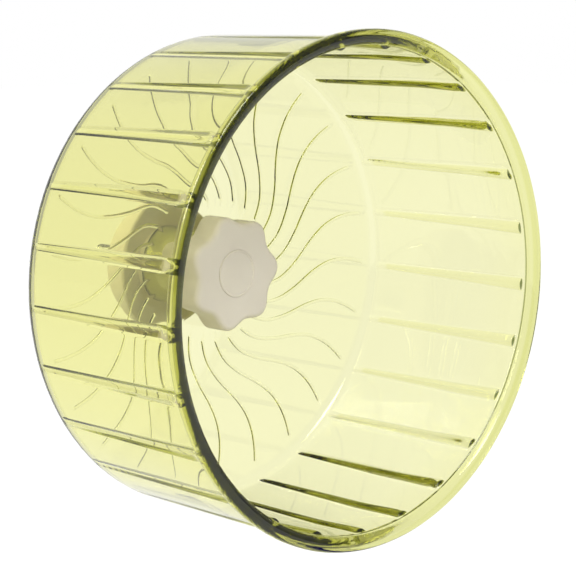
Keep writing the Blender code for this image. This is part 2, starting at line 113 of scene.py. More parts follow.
# Bearing, bolt and clamp
BOLT_RADIUS = 0.0030
BOLT_HOLE_RADIUS = 0.0033
BOLT_REACH = 0.0250
THREAD_PITCH = 0.0010
THREAD_DEPTH = 0.0006
THREAD_LENGTH = 0.0290
THREAD_CREST = 0.12        # share of half a turn that the flat crest takes
THREAD_FLANK = 0.80        # the same of the slope beside it
THREAD_COLUMNS = 32
THREAD_ROWS = 8
HEX_SIDES = 6
HEX_FLATS = 0.0100
HEX_CORNER_RADIUS = HEX_FLATS / (2 * math.cos(math.pi / HEX_SIDES))
HEX_COLUMNS = 12
HEAD_HEIGHT = 0.0032
HEAD_EDGE = 0.0004
NUT_HEIGHT = 0.0048
NUT_EDGE = 0.0005
SLEEVE_RADIUS = 0.0060
BUSH_BORE_RADIUS = SLEEVE_RADIUS + SEAT_GAP
BUSH_RADIUS = 0.0085
BUSH_FLANGE_RADIUS = 0.0106
BUSH_FLANGE_THICKNESS = 0.0008
WASHER_RADIUS = 0.0098
WASHER_THICKNESS = 0.0008
BEARING_EDGE = 0.0002      # rounding of the bush, the sleeve and the washers
HUB_BORE_RADIUS = BUSH_RADIUS + SEAT_GAP
HUB_RADIUS = 0.0112
HUB_DRAFT = 0.0003
HUB_LENGTH = 0.0120
HUB_FOOT = 0.0012          # from the hub's root to the last ring on the disc's back
HUB_EDGE = 0.0004

# Knob
LOBE_COUNT = 7
LOBE_PHASE = math.radians(2.3)
LOBE_RADIUS = 0.0166
LOBE_DEPTH = 0.0024
LOBE_COLUMNS = 28
KNOB_EDGE = 0.0017
KNOB_EDGE_STEPS = 8
KNOB_REAR_EDGE = 0.0005
KNOB_REAR_STEPS = 3
KNOB_FACE_THICKNESS = 0.0024
KNOB_DISC_CLEARANCE = 0.0008
SKIRT_INNER_RADIUS = 0.0125
BOSS_RADIUS = HEX_CORNER_RADIUS + 0.0014
BOSS_FLOOR = 0.0016
CAP_RADIUS = HEX_CORNER_RADIUS + 0.0010
CAP_THICKNESS = 0.0013
CAP_EDGE = 0.00015
CAP_EDGE_STEPS = 4
CAP_BEAD_WIDTH = 0.0007
CAP_BEAD_HEIGHT = 0.00022
CAP_BEAD_STEPS = 12
CAP_GAP = 0.00003
FACE_RING_RADIUS = 0.0110

# Mount base
PUCK_RADIUS = 0.0180
PUCK_WALL_RADIUS = 0.0173
PUCK_DEPTH = 0.0080
PUCK_EDGE = 0.0014
PUCK_EDGE_STEPS = 8
PUCK_SKIN = 0.0020
NECK_RADIUS = 0.0085
NECK_HEIGHT = 0.0035
NECK_EDGE = 0.0005
CORE_HUB_RADIUS = 0.0062
CORE_EDGE = 0.0003
CORE_RIB_COUNT = 6
CORE_RIB_THICKNESS = 0.0016
CORE_RIB_RECESS = 0.0003
CORE_RIB_EDGE = 0.00025

# Backing plate
CLAMP_GAP = 0.0050
PLATE_BOSS_RADIUS = HEX_CORNER_RADIUS + 0.0022
PLATE_RADIUS = PLATE_BOSS_RADIUS + 0.0035
PLATE_THICKNESS = 0.0022
PLATE_BOSS_HEIGHT = 0.0037
PLATE_FLOOR = 0.0014
PLATE_EDGE = 0.0005

# Heights along the axle, as in the CAD apart from the lip's back and its seam
NECK_TOP = PUCK_DEPTH + NECK_HEIGHT
REAR_WASHER_Z = NECK_TOP + SEAT_GAP
HUB_END_Z = REAR_WASHER_Z + WASHER_THICKNESS + THRUST_PLAY
DISC_REAR_Z = HUB_END_Z + HUB_LENGTH
DISC_FACE_Z = DISC_REAR_Z + DISC_THICKNESS
MOUTH_Z = DISC_REAR_Z + DRUM_DEPTH
LIP_BACK_Z = MOUTH_Z - LIP_DEPTH
SEAM_Z = MOUTH_Z - SEAM_DEPTH
GROOVE_TOP_Z = LIP_BACK_Z - GROOVE_SET_BACK
RIDGE_TOP_Z = SEAM_Z - RIDGE_SET_BACK
BUSH_FLANGE_Z = DISC_FACE_Z + SEAT_GAP
FRONT_WASHER_Z = BUSH_FLANGE_Z + BUSH_FLANGE_THICKNESS + THRUST_PLAY
BOSS_REAR_Z = FRONT_WASHER_Z + WASHER_THICKNESS + SEAT_GAP
HEAD_SEAT_Z = BOSS_REAR_Z + BOSS_FLOOR
HEAD_Z = HEAD_SEAT_Z + SEAT_GAP
CAP_FLOOR_Z = HEAD_Z + HEAD_HEIGHT + SEAT_GAP
CAP_Z = CAP_FLOOR_Z + SEAT_GAP
KNOB_FACE_Z = CAP_Z + CAP_THICKNESS
KNOB_REAR_Z = DISC_FACE_Z + KNOB_DISC_CLEARANCE
PLATE_Z = -CLAMP_GAP
PLATE_BOSS_Z = PLATE_Z - PLATE_THICKNESS
PLATE_REAR_Z = PLATE_BOSS_Z - PLATE_BOSS_HEIGHT
POCKET_Z = PLATE_Z - PLATE_FLOOR
NUT_Z = POCKET_Z - SEAT_GAP
BOLT_END_Z = -BOLT_REACH


# Materials

# The clear plastic takes the tints at its surfaces and the depth's colour on the way through; the
# deeper tints on the lip, the ridges, their ends and the seam are painted shade
WALL_TINT = (0.955, 0.945, 0.68)
# Painted shade: the lip's deeper tint stands in for the dark band that light turned round inside the
# flange gives.
LIP_PAINTED_SHADE = (0.82, 0.83, 0.40)
# Painted shade: the ridges' deeper tint stands in for the dark lines that light bent by the ridges
# gives.
RIDGE_PAINTED_SHADE = (0.87, 0.86, 0.46)
# Painted shade: the dark ends of the ridges stand in for the shade their blunt noses give.
NOSE_PAINTED_SHADE = (0.06, 0.08, 0.015)
# Painted shade: a dark line on the seam stands in for the shade the lip's inner edge gives.
SEAM_PAINTED_SHADE = (0.22, 0.25, 0.06)
DEPTH_COLOUR = (0.80, 0.81, 0.10)
DEPTH_DENSITY = 100.0                # per metre
CLEAR_IOR = 1.49

# Where those tints and their painted shade begin and end
RIDGE_SHADE_PROUD = (0.0001, 0.0004)       # how far a ridge stands proud where its painted shade comes in
RIDGE_SHADE_CORNER_FADE = 0.0020                 # length past the corner over which it comes in
NOSE_SHADE_REACH = 0.0009                  # length of the painted shade at a ridge's end
NOSE_SHADE_SOFTNESS = 0.0002
SEAM_SHADE_REACH = 0.00020                 # half width of the painted dark line on the seam
SEAM_SOFTNESS = 0.00012
SEAM_SHADE_SKIN = (0.0006, 0.0008)         # depths under the lip's inside where that line ends

# The other finishes, each in two near tones
CREAM_TONES = ((0.81, 0.75, 0.67), (0.78, 0.72, 0.64))
CREAM_IOR = 1.47
NYLON_TONES = ((0.80, 0.79, 0.72), (0.74, 0.73, 0.66))
STEEL_TONES = ((0.60, 0.60, 0.58), (0.50, 0.50, 0.49))
TURNING_STRETCH = (1, 12, 1)         # presses a noise along the axle, into marks round it
FINE_RELIEF = 0.00001                # depth of a surface's texture
CLEAR_RELIEF = 0.000012
NOISE_RANGE = (0.3, 0.7)             # most of a noise's values lie between these


def new_finish(name):
    finish = bpy.data.materials.new(name)
    finish.use_nodes = True
    tree = finish.node_tree
    return finish, tree, tree.nodes["Principled BSDF"]


def noise(tree, scale, detail=2.0, stretch=(1, 1, 1)):
    """Noise in the piece's own coordinates, in metres."""
    place = tree.nodes.new("ShaderNodeTexCoord")
    mapping = tree.nodes.new("ShaderNodeMapping")
    mapping.inputs["Scale"].default_value = stretch
    texture = tree.nodes.new("ShaderNodeTexNoise")
    texture.inputs["Scale"].default_value = scale
    texture.inputs["Detail"].default_value = detail
    tree.links.new(place.outputs["Object"], mapping.inputs["Vector"])
    tree.links.new(mapping.outputs["Vector"], texture.inputs["Vector"])
    return texture.outputs["Fac"]


def spread(tree, source, low, high):
    """Spreads a noise over a range of values."""
    value = tree.nodes.new("ShaderNodeMapRange")
    value.inputs["From Min"].default_value = NOISE_RANGE[0]
    value.inputs["From Max"].default_value = NOISE_RANGE[1]
    value.inputs["To Min"].default_value = low
    value.inputs["To Max"].default_value = high
    tree.links.new(source, value.inputs["Value"])
    return value.outputs["Result"]


def two_tones(tree, source, tones):
    """Two near tones mixed by a noise."""
    return toned(tree, spread(tree, source, 0.0, 1.0), *tones)


def bump(tree, shader, source, height):
    """Relief of a real height in metres."""
    relief = tree.nodes.new("ShaderNodeBump")
    relief.inputs["Strength"].default_value = 1.0
    relief.inputs["Distance"].default_value = height
    tree.links.new(source, relief.inputs["Height"])
    tree.links.new(relief.outputs["Normal"], shader.inputs["Normal"])


def soft_step(tree, source, start, end, height=1.0):
    """0 before start and the full height beyond end, with a smooth change between."""
    step = tree.nodes.new("ShaderNodeMapRange")
    step.interpolation_type = "SMOOTHSTEP"
    step.inputs["From Min"].default_value = start
    step.inputs["From Max"].default_value = end
    step.inputs["To Max"].default_value = height
    tree.links.new(source, step.inputs["Value"])
    return step.outputs["Result"]


def calculated(tree, operation, first, second, clamp=False):
    """The result of one operation on two values, each a number or a socket."""
    node = tree.nodes.new("ShaderNodeMath")
    node.operation = operation
    node.use_clamp = clamp
    for socket, value in zip(node.inputs, (first, second)):
        if isinstance(value, (int, float)):
            socket.default_value = value
        else:
            tree.links.new(value, socket)
    return node.outputs["Value"]


def toned(tree, share, before, after):
    """Mixes a colour or a linked colour with a second one by a linked share."""
    mix = tree.nodes.new("ShaderNodeMix")
    mix.data_type = "RGBA"
    if isinstance(before, tuple):
        mix.inputs["A"].default_value = (*before, 1.0)
    else:
        tree.links.new(before, mix.inputs["A"])
    mix.inputs["B"].default_value = (*after, 1.0)
    tree.links.new(share, mix.inputs["Factor"])
    return mix.outputs["Result"]


def ridge_shade_mask(tree, backward, radius):
    """Where the ridges' painted shade goes: 1 on the ridges inside the drum's wall and 0 elsewhere,
    from how far they stand proud.
    Backward is the shared frame's Y, which is minus the height along the axle."""
    wall = tree.nodes.new("ShaderNodeMapRange")
    wall.clamp = False
    wall.inputs["From Min"].default_value = -DISC_REAR_Z
    wall.inputs["From Max"].default_value = -MOUTH_Z
    wall.inputs["To Min"].default_value = REAR_WALL_RADIUS - WALL_THICKNESS
    wall.inputs["To Max"].default_value = MOUTH_WALL_RADIUS - WALL_THICKNESS
    tree.links.new(backward, wall.inputs["Value"])
    run_in = soft_step(tree, backward, LIP_RUN_IN - SEAM_Z, -SEAM_Z, LIP_OVERHANG)
    inner = calculated(tree, "SUBTRACT", wall.outputs["Result"], run_in)
    proud = soft_step(tree, calculated(tree, "SUBTRACT", inner, radius), *RIDGE_SHADE_PROUD)
    corner = -DISC_FACE_Z - CORNER_RADIUS
    past_corner = soft_step(tree, backward, corner, corner - RIDGE_SHADE_CORNER_FADE)
    before_seam = soft_step(tree, backward, SEAM_SOFTNESS - SEAM_Z, 3 * SEAM_SOFTNESS - SEAM_Z)
    inside = calculated(tree, "MULTIPLY", past_corner, before_seam)
    return calculated(tree, "MULTIPLY", proud, inside)


def drum_tints_and_painted_shade(tree):
    """The clear plastic's tint with painted shade: deeper on the ridges and the lip, darkest on the
    seam and on the ridges' ends, for the shade that light bent and turned round inside the plastic
    gives there."""
    place = tree.nodes.new("ShaderNodeTexCoord")
    parts = tree.nodes.new("ShaderNodeSeparateXYZ")
    across = tree.nodes.new("ShaderNodeCombineXYZ")
    radius = tree.nodes.new("ShaderNodeVectorMath")
    radius.operation = "LENGTH"
    tree.links.new(place.outputs["Object"], parts.inputs["Vector"])
    for axis in "XZ":
        tree.links.new(parts.outputs[axis], across.inputs[axis])
    tree.links.new(across.outputs["Vector"], radius.inputs["Vector"])
    backward, seam = parts.outputs["Y"], -SEAM_Z
    # Where the lip's painted shade goes.
    lip_shade_share = soft_step(tree, backward, seam + SEAM_SOFTNESS, seam - SEAM_SOFTNESS)
    # The seam's painted dark line.
    past = soft_step(tree, backward, seam - SEAM_SHADE_REACH - SEAM_SOFTNESS, seam - SEAM_SHADE_REACH)
    before = soft_step(tree, backward, seam + SEAM_SHADE_REACH + SEAM_SOFTNESS, seam + SEAM_SHADE_REACH)
    inside = soft_step(tree, radius.outputs["Value"],
                       LIP_INNER_RADIUS + SEAM_SHADE_SKIN[1], LIP_INNER_RADIUS + SEAM_SHADE_SKIN[0])
    seam_shade_line = calculated(tree, "MULTIPLY", past, before)
    on_seam_shade = calculated(tree, "MULTIPLY", seam_shade_line, inside)
    on_ridge_shade = ridge_shade_mask(tree, backward, radius.outputs["Value"])
    # Painted shade on the ridges' ends.
    nose = NOSE_SHADE_REACH - RIDGE_TOP_Z
    at_nose_shade = soft_step(tree, backward, nose, nose - NOSE_SHADE_SOFTNESS)
    on_nose_shade = calculated(tree, "MULTIPLY", at_nose_shade, on_ridge_shade)
    wall = toned(tree, on_ridge_shade, WALL_TINT, RIDGE_PAINTED_SHADE)
    wall = toned(tree, on_nose_shade, wall, NOSE_PAINTED_SHADE)
    return toned(tree, on_seam_shade, toned(tree, lip_shade_share, wall, LIP_PAINTED_SHADE), SEAM_PAINTED_SHADE)


def clear_green_finish():
    """Polished clear plastic. Most of its colour comes where light goes in and out, so that
    thick and thin stretches look alike, and a little more comes in its depth."""
    finish, tree, shader = new_finish("clear_green_plastic")
    # The base colour carries painted shade on the lip, the ridges, their ends and the seam.
    tree.links.new(drum_tints_and_painted_shade(tree), shader.inputs["Base Color"])
    shader.inputs["Transmission Weight"].default_value = 1.0
    shader.inputs["IOR"].default_value = CLEAR_IOR
    tree.links.new(spread(tree, noise(tree, 60.0), 0.0, 0.03), shader.inputs["Roughness"])
    bump(tree, shader, noise(tree, 45.0, 1.0), CLEAR_RELIEF)
    depth = tree.nodes.new("ShaderNodeVolumeAbsorption")
    depth.inputs["Color"].default_value = (*DEPTH_COLOUR, 1.0)
    depth.inputs["Density"].default_value = DEPTH_DENSITY
    tree.links.new(depth.outputs["Volume"], tree.nodes["Material Output"].inputs["Volume"])
    return finish


def cream_finish():
    """Satin moulded plastic with a fine spark texture."""
    finish, tree, shader = new_finish("cream_plastic")
    tones = two_tones(tree, noise(tree, 90.0, 4.0), CREAM_TONES)
    tree.links.new(tones, shader.inputs["Base Color"])
    tree.links.new(spread(tree, noise(tree, 300.0), 0.36, 0.50), shader.inputs["Roughness"])
    shader.inputs["IOR"].default_value = CREAM_IOR
    bump(tree, shader, noise(tree, 3500.0, 3.0), FINE_RELIEF)
    return finish


def nylon_finish():
    """Milky moulded plastic, duller than the cream one."""
    finish, tree, shader = new_finish("natural_nylon")
    tones = two_tones(tree, noise(tree, 150.0, 3.0), NYLON_TONES)
    tree.links.new(tones, shader.inputs["Base Color"])
    tree.links.new(spread(tree, noise(tree, 500.0), 0.40, 0.55), shader.inputs["Roughness"])
    bump(tree, shader, noise(tree, 2500.0), FINE_RELIEF)
    return finish


def steel_finish():
    """Zinc-plated steel, with fine turning marks round the axle."""
    finish, tree, shader = new_finish("plated_steel")
    tones = two_tones(tree, noise(tree, 400.0, 3.0), STEEL_TONES)
    tree.links.new(tones, shader.inputs["Base Color"])
    shader.inputs["Metallic"].default_value = 1.0
    tree.links.new(spread(tree, noise(tree, 900.0), 0.24, 0.38), shader.inputs["Roughness"])
    bump(tree, shader, noise(tree, 700.0, 2.0, TURNING_STRETCH), FINE_RELIEF)
    return finish


# Tools that make a piece

def add_object(name, mesh):
    piece = bpy.data.objects.new(name, mesh)
    bpy.context.scene.collection.objects.link(piece)
    return piece


def finished(name, rough, body, replaces=()):
    """Turns a rough piece and its modifiers into a plain mesh in the shared frame."""
    bpy.context.view_layer.update()
    depsgraph = bpy.context.evaluated_depsgraph_get()
    mesh = bpy.data.meshes.new_from_object(rough.evaluated_get(depsgraph))
    bpy.data.objects.remove(rough, do_unlink=True)
    shape = bmesh.new()
    shape.from_mesh(mesh)
    bmesh.ops.remove_doubles(shape, verts=shape.verts, dist=MERGE_DISTANCE)
    bmesh.ops.dissolve_degenerate(shape, edges=shape.edges, dist=MERGE_DISTANCE / 10)
    bmesh.ops.recalc_face_normals(shape, faces=shape.faces)
    shape.to_mesh(mesh)
    shape.free()
    mesh.transform(AXLE_TURN)
    mesh.shade_smooth()
    mesh.set_sharp_from_angle(angle=SHARP_ANGLE)
    mesh.name = name
    piece = add_object(name, mesh)
    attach(piece, body)
    if replaces:
        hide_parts(*replaces)
    return piece


def repeat_tree():
    """Geometry nodes that repeat one sector round the axle and close the seams."""
    tree = bpy.data.node_groups.new("repeat_round_axle", "GeometryNodeTree")
    sockets = {}
    for label, kind in (("Sector", "Geometry"), ("Count", "Int"), ("Seam", "Float"),
                        ("Finish", "Material")):
        sockets[label] = tree.interface.new_socket(
            label, in_out="INPUT", socket_type="NodeSocket" + kind)
    tree.interface.new_socket("Ring", in_out="OUTPUT", socket_type="NodeSocketGeometry")
    nodes, link = tree.nodes, tree.links.new
    start = nodes.new("NodeGroupInput")
    points = nodes.new("GeometryNodeMeshLine")
    points.inputs["Offset"].default_value = (0, 0, 0)
    link(start.outputs["Count"], points.inputs["Count"])
    step = calculated(tree, "DIVIDE", math.tau, start.outputs["Count"])
    index = nodes.new("GeometryNodeInputIndex").outputs["Index"]
    about_z = nodes.new("ShaderNodeCombineXYZ")
    link(calculated(tree, "MULTIPLY", index, step), about_z.inputs["Z"])
    rotation = nodes.new("FunctionNodeEulerToRotation")
    link(about_z.outputs["Vector"], rotation.inputs["Euler"])
    copies = nodes.new("GeometryNodeInstanceOnPoints")
    link(points.outputs["Mesh"], copies.inputs["Points"])
    link(start.outputs["Sector"], copies.inputs["Instance"])
    link(rotation.outputs["Rotation"], copies.inputs["Rotation"])
    real = nodes.new("GeometryNodeRealizeInstances")
    link(copies.outputs["Instances"], real.inputs["Geometry"])
    closed = nodes.new("GeometryNodeMergeByDistance")
    link(real.outputs["Geometry"], closed.inputs["Geometry"])
    link(start.outputs["Seam"], closed.inputs["Distance"])
    painted = nodes.new("GeometryNodeSetMaterial")
    link(closed.outputs["Geometry"], painted.inputs["Geometry"])
    link(start.outputs["Finish"], painted.inputs["Material"])
    end = nodes.new("NodeGroupOutput")
    link(painted.outputs["Geometry"], end.inputs["Ring"])
    return tree, sockets


REPEAT, REPEAT_SOCKETS = repeat_tree()


def repeated(name, mesh, count, finish):
    """A rough piece: the sector mesh, repeated count times round the axle."""
    rough = add_object(name, mesh)
    ring = rough.modifiers.new("repeat_round_axle", "NODES")
    ring.node_group = REPEAT
    ring[REPEAT_SOCKETS["Count"].identifier] = count
    ring[REPEAT_SOCKETS["Seam"].identifier] = MERGE_DISTANCE
    ring[REPEAT_SOCKETS["Finish"].identifier] = finish
    return rough


def turned(name, profile, finish, closed=True):
    """A rough piece turned on the axle from points (radius, z)."""
    mesh = bpy.data.meshes.new(name)
    points = [(radius, 0.0, z) for radius, z in profile]
    edges = [(i, i + 1) for i in range(len(points) - 1)]
    if closed:
        edges.append((len(points) - 1, 0))
    mesh.from_pydata(points, edges, [])
    mesh.materials.append(finish)
    rough = add_object(name, mesh)
    screw = rough.modifiers.new("turn", "SCREW")
    screw.axis = "Z"
    screw.angle = math.tau
    screw.steps = TURNED_STEPS
    screw.render_steps = TURNED_STEPS
    screw.use_merge_vertices = True
    screw.merge_threshold = MERGE_DISTANCE
    return rough


def softened(profile, radius, closed=True):
    """Rounds the corners of a profile. Corners on the axle and loose ends stay."""
    result = []
    count = len(profile)
    for i, corner in enumerate(profile):
        ends = not closed and i in (0, count - 1)
        if ends or corner[0] == 0:
            result.append(corner)
            continue
        here = Vector(corner)
        before, after = Vector(profile[i - 1]), Vector(profile[(i + 1) % count])
        cut = min(radius, (before - here).length / 2.1, (after - here).length / 2.1)
        first = here + (before - here).normalized() * cut
        last = here + (after - here).normalized() * cut
        for k in range(SOFT_STEPS + 1):
            t = k / SOFT_STEPS
            point = first * (1 - t) ** 2 + here * 2 * t * (1 - t) + last * t ** 2
            result.append((point.x, point.y))
    return result


def arc(centre, radius, start, end, steps):
    """Points (radius, z) on an arc between two angles in degrees."""
    points = []
    for i in range(steps + 1):
        turn = math.radians(start + (end - start) * i / steps)
        points.append((centre[0] + radius * math.cos(turn), centre[1] + radius * math.sin(turn)))
    return points


def even(first, last, steps):
    return [first + (last - first) * i / steps for i in range(steps + 1)]


def sector_mesh(name, stations, column_count, corner, closed=True):
    """One sector of a surface. corner(station, column) gives (radius, angle, z)."""
    mesh = bpy.data.meshes.new(name)
    points = []
    for station in stations:
        for column in range(column_count + 1):
            radius, angle, z = corner(station, column)
            points.append((radius * math.cos(angle), radius * math.sin(angle), z))
    wide = column_count + 1
    rows = len(stations) if closed else len(stations) - 1
    faces = []
    for row in range(rows):
        near, far = row * wide, (row + 1) % len(stations) * wide
        for column in range(column_count):
            faces.append((near + column, near + column + 1, far + column + 1, far + column))
    mesh.from_pydata(points, [], faces)
    return mesh


# Drum

def wall_radius(z):
    share = (z - DISC_REAR_Z) / (MOUTH_Z - DISC_REAR_Z)
    return REAR_WALL_RADIUS + (MOUTH_WALL_RADIUS - REAR_WALL_RADIUS) * share


def inner_radius(z):
    """Inner radius of the wall, which thickens softly up to the seam behind the lip."""
    share = min(max((z - SEAM_Z) / LIP_RUN_IN + 1, 0.0), 1.0)
    thicker = LIP_OVERHANG * share * share * (3 - 2 * share)
    return wall_radius(z) - WALL_THICKNESS - thicker


def rung_size(z, top, nose_length, widths, shares):
    """Half width and height of a rung, which grows from the disc to the mouth and ends there
    in a blunt nose."""
    nose_z = top - nose_length
    along = min(max((z - DISC_FACE_Z) / (nose_z - DISC_FACE_Z), 0.0), 1.0)
    width = widths[0] + (widths[1] - widths[0]) * along
    height = width * (shares[0] + (shares[1] - shares[0]) * along)
    into_nose = (z - nose_z) / nose_length
    if into_nose > 0:
        fall = math.sqrt(max(0.0, 1 - into_nose ** 2))
        height *= (1 + math.cos(math.pi * into_nose)) / 2
        width = RUNG_NOSE_HALF_WIDTH + (width - RUNG_NOSE_HALF_WIDTH) * fall
    return width, height


def swirl_turn(radius):
    """Angle of a rib at a radius, on a smooth curve through the table's turns."""
    last = len(SWIRL_TURN_DEGREES) - 1
    share = (radius - SWIRL_INNER_RADIUS) / (SWIRL_OUTER_RADIUS - SWIRL_INNER_RADIUS)
    place = min(max(share, 0.0), 1.0) * last
    step = min(int(place), last - 1)
    t = place - step
    before, start, end, after = (
        SWIRL_TURN_DEGREES[min(max(step + k, 0), last)] for k in (-1, 0, 1, 2))
    if step == 0:
        before = 2 * start - end
    if step == last - 1:
        after = 2 * end - start
    bend = (2 * before - 5 * start + 4 * end - after) * t * t
    bend += (3 * start - before - 3 * end + after) * t ** 3
    return SWIRL_PHASE + math.radians(start + ((end - before) * t + bend) / 2)


def swirl_half_angle(radius):
    """Half a rib's width as an angle, wider where the rib runs slantwise."""
    radius = min(max(radius, SWIRL_INNER_RADIUS), SWIRL_OUTER_RADIUS)
    step = SWIRL_HALF_WIDTH / 10
    slant = radius * (swirl_turn(radius + step) - swirl_turn(radius - step)) / (2 * step)
    return SWIRL_HALF_WIDTH * math.sqrt(1 + slant ** 2) / radius


def rib_rise(radius):
    """0 where there is no rib and 1 at its full height, with a smooth rise at both ends."""
    inside = min(radius - SWIRL_INNER_RADIUS, SWIRL_OUTER_RADIUS - radius)
    share = min(max(inside / SWIRL_FADE, 0.0), 1.0)
    return share * share * (3 - 2 * share)


def nose_heights(top, nose_length):
    return [top - nose_length * share for share in NOSE_SHARES]


def drum_stations():
    """The drum's section as (place, radius, z): from the hub's bore out over the disc's face,
    up the inner wall, round the lip, down the outer wall and back over the disc to the hub."""
    near_corner = wall_radius(DISC_REAR_Z + CORNER_RADIUS) - CORNER_RADIUS
    inner_corner = CORNER_RADIUS - WALL_THICKNESS
    inner_z = DISC_FACE_Z + inner_corner
    inner_x = wall_radius(inner_z) - WALL_THICKNESS - inner_corner
    fade = [SWIRL_FADE * share for share in (0.0, 0.25, 0.5, 0.75, 1.0)]
    radii = [HUB_BORE_RADIUS, HUB_BORE_RADIUS + SEAT_GAP, HUB_RADIUS]
    radii += [(HUB_RADIUS + SWIRL_INNER_RADIUS) / 2]
    radii += [SWIRL_INNER_RADIUS + share for share in fade]
    radii += even(SWIRL_INNER_RADIUS + SWIRL_FADE, SWIRL_OUTER_RADIUS - SWIRL_FADE, FACE_STEPS)[1:-1]
    radii += [SWIRL_OUTER_RADIUS - share for share in reversed(fade)]
    stations = [("face", radius, DISC_FACE_Z) for radius in radii]
    for x, z in arc((inner_x, inner_z), inner_corner, -90, 0, CORNER_STEPS):
        stations.append(("inner", x, z))
    noses = nose_heights(RIDGE_TOP_Z, RIDGE_NOSE_LENGTH)
    heights = even(inner_z, noses[-1], WALL_STEPS)[1:-1]
    heights += reversed(noses)
    heights.append(RIDGE_TOP_Z + RUNG_END_GAP)
    for z in heights:
        stations.append(("inner", inner_radius(z), z))
    for share in even(-1.0, 1.0, SEAM_STEPS):
        sink = SEAM_SINK * (1 + math.cos(math.pi * share)) / 2
        stations.append(("lip", LIP_INNER_RADIUS + sink, SEAM_Z + share * SEAM_HALF_WIDTH))
    edge, back_edge, inner_edge, fillet = LIP_EDGE, LIP_BACK_EDGE, LIP_INNER_EDGE, LIP_FILLET
    lip = arc((LIP_INNER_RADIUS + inner_edge, MOUTH_Z - inner_edge), inner_edge, 180, 90,
              LIP_INNER_STEPS)
    lip += arc((FLANGE_RADIUS - edge, MOUTH_Z - edge), edge, 90, 0, LIP_EDGE_STEPS)
    lip += arc((FLANGE_RADIUS - back_edge, LIP_BACK_Z + back_edge), back_edge, 0, -90,
               LIP_BACK_STEPS)
    lip += arc((wall_radius(LIP_BACK_Z) + fillet, LIP_BACK_Z - fillet), fillet, 90, 180,
               LIP_FILLET_STEPS)
    stations += [("lip", x, z) for x, z in lip]
    noses = nose_heights(GROOVE_TOP_Z, GROOVE_NOSE_LENGTH)
    corner_z = DISC_REAR_Z + CORNER_RADIUS
    heights = [GROOVE_TOP_Z + RUNG_END_GAP, *noses]
    heights += even(noses[-1], corner_z, WALL_STEPS)[1:-1]
    for z in heights:
        stations.append(("outer", wall_radius(z), z))
    for x, z in arc((near_corner, corner_z), CORNER_RADIUS, 0, -90, CORNER_STEPS):
        stations.append(("outer", x, z))
    for radius in even(near_corner, HUB_RADIUS, DISC_BACK_STEPS)[1:-1]:
        stations.append(("plain", radius, DISC_REAR_Z))
    hub = [
        (HUB_RADIUS + HUB_FOOT, DISC_REAR_Z),
        (HUB_RADIUS, DISC_REAR_Z),
        (HUB_RADIUS - HUB_DRAFT, HUB_END_Z),
        (HUB_BORE_RADIUS, HUB_END_Z),
        (HUB_BORE_RADIUS, DISC_FACE_Z - SEAT_GAP),
    ]
    stations += [("plain", x, z) for x, z in softened(hub, HUB_EDGE, closed=False)]
    return stations


def drum_corner(station, column):
    """A point of the drum's sector, raised into a rib or a ridge or sunk into a groove."""
    place, radius, z = station
    if place == "face":
        half = swirl_half_angle(radius)
        turn = swirl_turn(radius)
    else:
        half = GROOVE_WIDTHS[1] / MOUTH_WALL_RADIUS
        turn = RUNG_PHASE + 2 * SECTOR_ANGLE
    across = math.sin(math.pi / 2 * (2 * min(column, FEATURE_COLUMNS) / FEATURE_COLUMNS - 1))
    swell = 1 - across ** 2
    if place == "face":
        z += SWIRL_HEIGHT * rib_rise(radius) * swell
    elif place == "inner" and z <= RIDGE_TOP_Z:
        width, height = rung_size(
            z, RIDGE_TOP_Z, RIDGE_NOSE_LENGTH, RIDGE_WIDTHS, RIDGE_HEIGHT_SHARES)
        half = width / MOUTH_WALL_RADIUS
        radius = min(radius, inner_radius(z) - height * swell)
    elif place == "outer" and z <= GROOVE_TOP_Z:
        width, depth = rung_size(
            z, GROOVE_TOP_Z, GROOVE_NOSE_LENGTH, GROOVE_WIDTHS, GROOVE_DEPTH_SHARES)
        half = width / MOUTH_WALL_RADIUS
        radius = min(radius, wall_radius(z) - depth * swell ** GROOVE_SWELL)
    angle = turn + half * across
    if column > FEATURE_COLUMNS:
        angle += PLAIN_PLACES[column - FEATURE_COLUMNS - 1] * (SECTOR_ANGLE - 2 * half)
    return radius, angle, z


def build_drum(finish):
    columns = FEATURE_COLUMNS + len(PLAIN_PLACES)
    mesh = sector_mesh("drum_sector", drum_stations(), columns, drum_corner)
    rough = repeated("drum_sector", mesh, SECTOR_COUNT, finish)
    finished("clear_drum", rough, "wheel", ["wheel_drum"])


# Knob

def lobe_point(angle, inset):
    """A point on the knob's outline, moved in square to it by inset, as (radius, angle)."""
    swing = LOBE_COUNT * (angle - LOBE_PHASE)
    radius = LOBE_RADIUS - LOBE_DEPTH * (1 - math.cos(swing)) / 2
    slope = -LOBE_DEPTH * LOBE_COUNT * math.sin(swing) / 2
    outward = Vector((radius, -slope)).normalized()
    point = Vector((radius, 0.0)) - outward * inset
    return point.length, angle + math.atan2(point.y, point.x)


